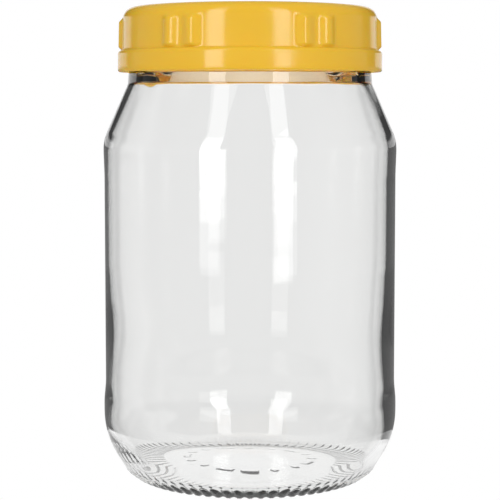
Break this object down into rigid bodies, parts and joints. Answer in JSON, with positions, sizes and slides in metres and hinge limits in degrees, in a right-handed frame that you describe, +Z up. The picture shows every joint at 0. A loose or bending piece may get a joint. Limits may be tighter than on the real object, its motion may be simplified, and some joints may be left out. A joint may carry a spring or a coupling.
{
  "type": "twist-off jar",
  "caption": "Tall round clear glass jar with a knurled base ring, a tapered shoulder and a yellow plastic twist-off lid with raised grip pads, shut and empty.",
  "frame": {"origin": "centre of the ring that the jar stands on, at the lowest point of the knurled ring", "axes": "+Z up along the jar's axis, through the lid; -Y is the side that the picture shows"},
  "size_m": [0.098, 0.098, 0.156],
  "materials": {
    "glass": "clear, fire-polished",
    "lid_plastic": "glossy moulded golden yellow",
    "seal": "matt cream sealing disc"
  },
  "bodies": {
    "root": {"jar": "glass", "lid": "lid_plastic", "liner": "seal"}
  },
  "joints": []
}
